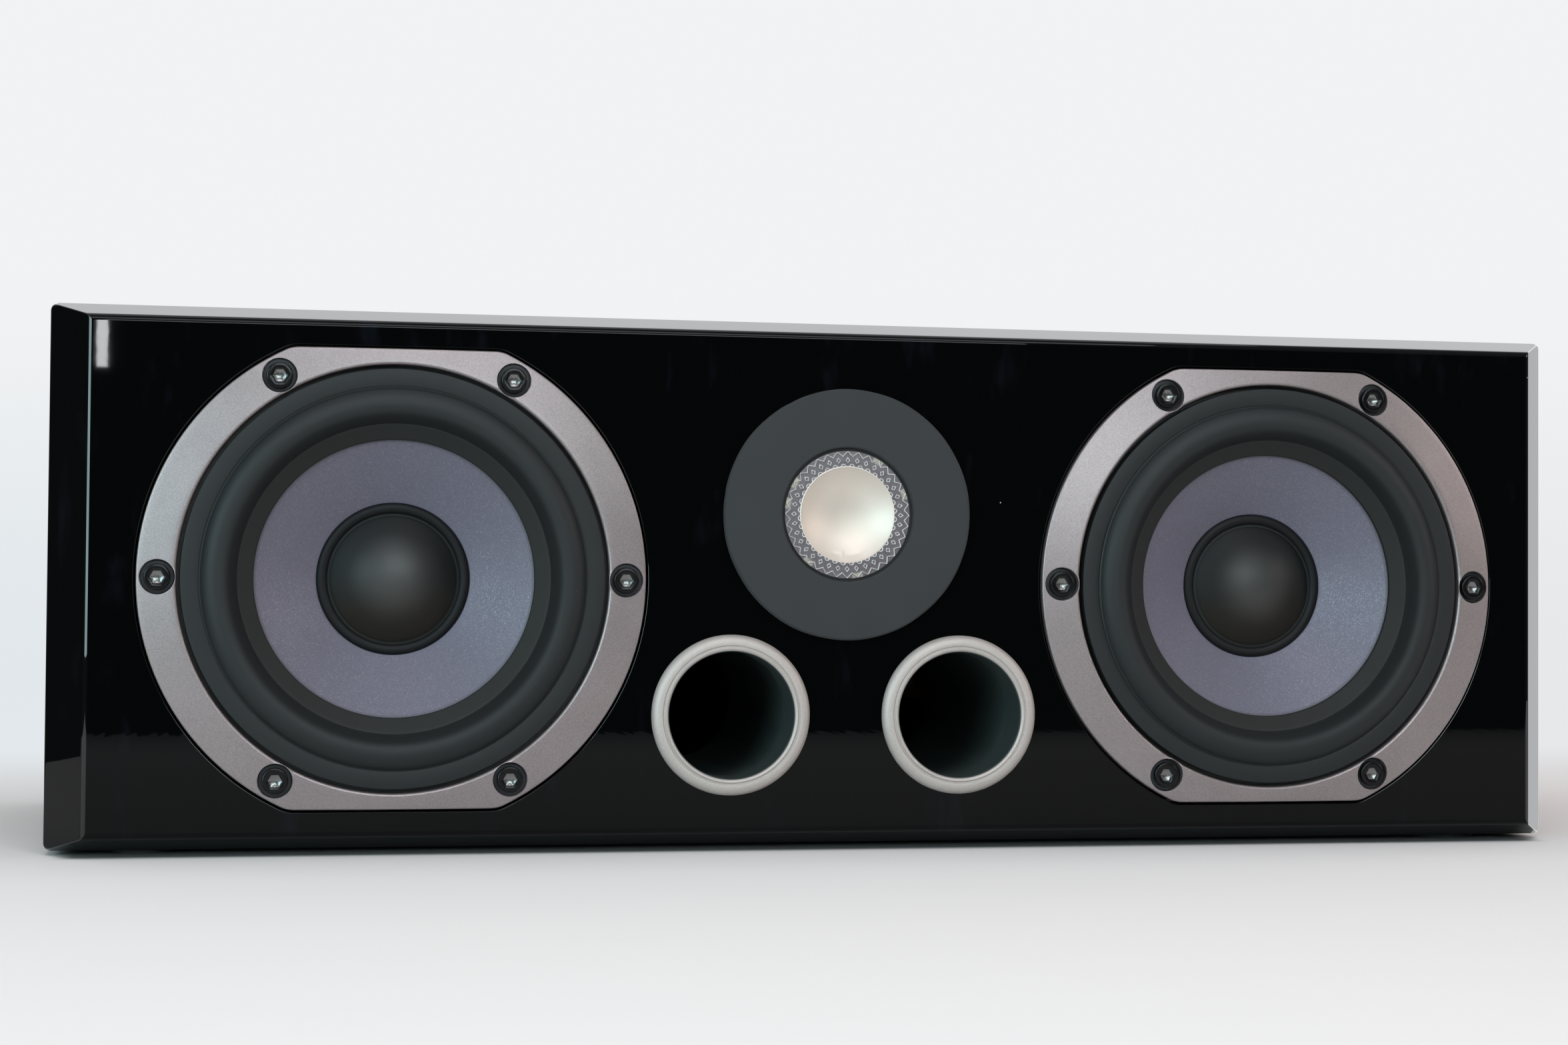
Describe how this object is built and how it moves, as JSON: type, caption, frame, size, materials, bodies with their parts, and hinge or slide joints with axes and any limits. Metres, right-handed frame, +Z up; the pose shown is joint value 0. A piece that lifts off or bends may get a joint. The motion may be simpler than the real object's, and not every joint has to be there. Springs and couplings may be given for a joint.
{
  "type": "center channel speaker",
  "caption": "Wide low loudspeaker cabinet in black gloss lacquer with a bevelled front, woofers either side of a metal dome tweeter, and round bass ports below it.",
  "frame": {"origin": "under the middle of the cabinet, on the surface it stands on", "axes": "+X to the right seen from the front, the front faces -Y, +Z up"},
  "size_m": [0.4294, 0.1996, 0.1472],
  "materials": {
    "cabinet_lacquer": "black high-gloss lacquer over fibreboard",
    "foot_rubber": "matte rubber pad",
    "wadding": "loose polyester wadding",
    "ring_silver": "silver metallic paint, satin",
    "basket_black": "black powder paint",
    "surround_rubber": "matte moulded rubber",
    "cone_grey": "grey moulded cone with fine metallic flakes",
    "cap_black": "satin black",
    "bare_aluminium": "bare sheet",
    "copper_wire": "enamelled copper winding",
    "spider_cloth": "impregnated cloth",
    "plated_steel": "zinc plate",
    "ferrite": "dark sintered ferrite",
    "port_silver": "satin silver paint",
    "tube_black": "fine-grained black plastic",
    "black_steel": "black oxide",
    "dark_steel": "dark zinc",
    "gasket_foam": "closed-cell foam",
    "board_green": "phenolic board",
    "cover_soft": "soft matte ring",
    "dome_metal": "drawn metal foil, satin",
    "gold_plate": "gold-plated brass",
    "cap_red": "red plastic",
    "cap_dark": "black plastic",
    "nylon_white": "natural nylon",
    "capacitor_film": "wrapped film capacitor",
    "resistor_body": "cement resistor body",
    "wire_sleeve": "insulated wire"
  },
  "bodies": {
    "cabinet": {"front_baffle": "cabinet_lacquer", "top_panel": "cabinet_lacquer", "bottom_panel": "cabinet_lacquer", "left_side_panel": "cabinet_lacquer", "right_side_panel": "cabinet_lacquer", "rear_panel": "cabinet_lacquer", "feet": "foot_rubber", "damping_wadding": "wadding", "left_trim_ring": "ring_silver", "left_basket": "basket_black", "left_surround": "surround_rubber", "left_spider": "spider_cloth", "left_top_plate": "plated_steel", "left_magnet": "ferrite", "left_pole_yoke": "plated_steel", "left_port_trim": "port_silver", "left_port_tube": "tube_black", "right_trim_ring": "ring_silver", "right_basket": "basket_black", "right_surround": "surround_rubber", "right_spider": "spider_cloth", "right_top_plate": "plated_steel", "right_magnet": "ferrite", "right_pole_yoke": "plated_steel", "right_port_trim": "port_silver", "right_port_tube": "tube_black", "woofer_screws": "black_steel", "woofer_washers": "dark_steel", "woofer_gaskets": "gasket_foam", "woofer_terminal_strips": "board_green", "tweeter_cover": "cover_soft", "tweeter_flange": "tube_black", "tweeter_screws": "black_steel", "tweeter_diaphragm": "dome_metal", "tweeter_voice_coil": "copper_wire", "tweeter_top_plate": "plated_steel", "tweeter_magnet": "ferrite", "tweeter_yoke": "plated_steel", "terminal_cup": "tube_black", "terminal_cup_screws": "black_steel", "positive_post": "gold_plate", "negative_post": "gold_plate", "post_nuts": "gold_plate", "crossover_board": "board_green", "board_standoffs": "nylon_white", "woofer_inductor": "copper_wire", "tweeter_inductor": "copper_wire", "crossover_capacitors": "capacitor_film", "crossover_resistors": "resistor_body", "internal_wiring": "wire_sleeve"},
    "left_cone": {"left_cone": "cone_grey", "left_dust_cap": "cap_black", "left_coil_former": "bare_aluminium", "left_voice_coil": "copper_wire"},
    "right_cone": {"right_cone": "cone_grey", "right_dust_cap": "cap_black", "right_coil_former": "bare_aluminium", "right_voice_coil": "copper_wire"},
    "positive_cap": {"positive_cap": "cap_red"},
    "negative_cap": {"negative_cap": "cap_dark"}
  },
  "joints": [
    {"name": "left_cone_travel", "type": "slide", "parent": "cabinet", "child": "left_cone", "axis": [0, -1, 0], "range_m": [-0.004, 0.004], "stiffness_N_per_m": 1250, "deforming": ["left_surround", "left_spider"]},
    {"name": "right_cone_travel", "type": "slide", "parent": "cabinet", "child": "right_cone", "axis": [0, -1, 0], "range_m": [-0.004, 0.004], "stiffness_N_per_m": 1250, "deforming": ["right_surround", "right_spider"]},
    {"name": "positive_cap_unscrew", "type": "slide", "parent": "cabinet", "child": "positive_cap", "axis": [0, 1, 0], "range_m": [0, 0.0045]},
    {"name": "negative_cap_unscrew", "type": "slide", "parent": "cabinet", "child": "negative_cap", "axis": [0, 1, 0], "range_m": [0, 0.0045]}
  ]
}
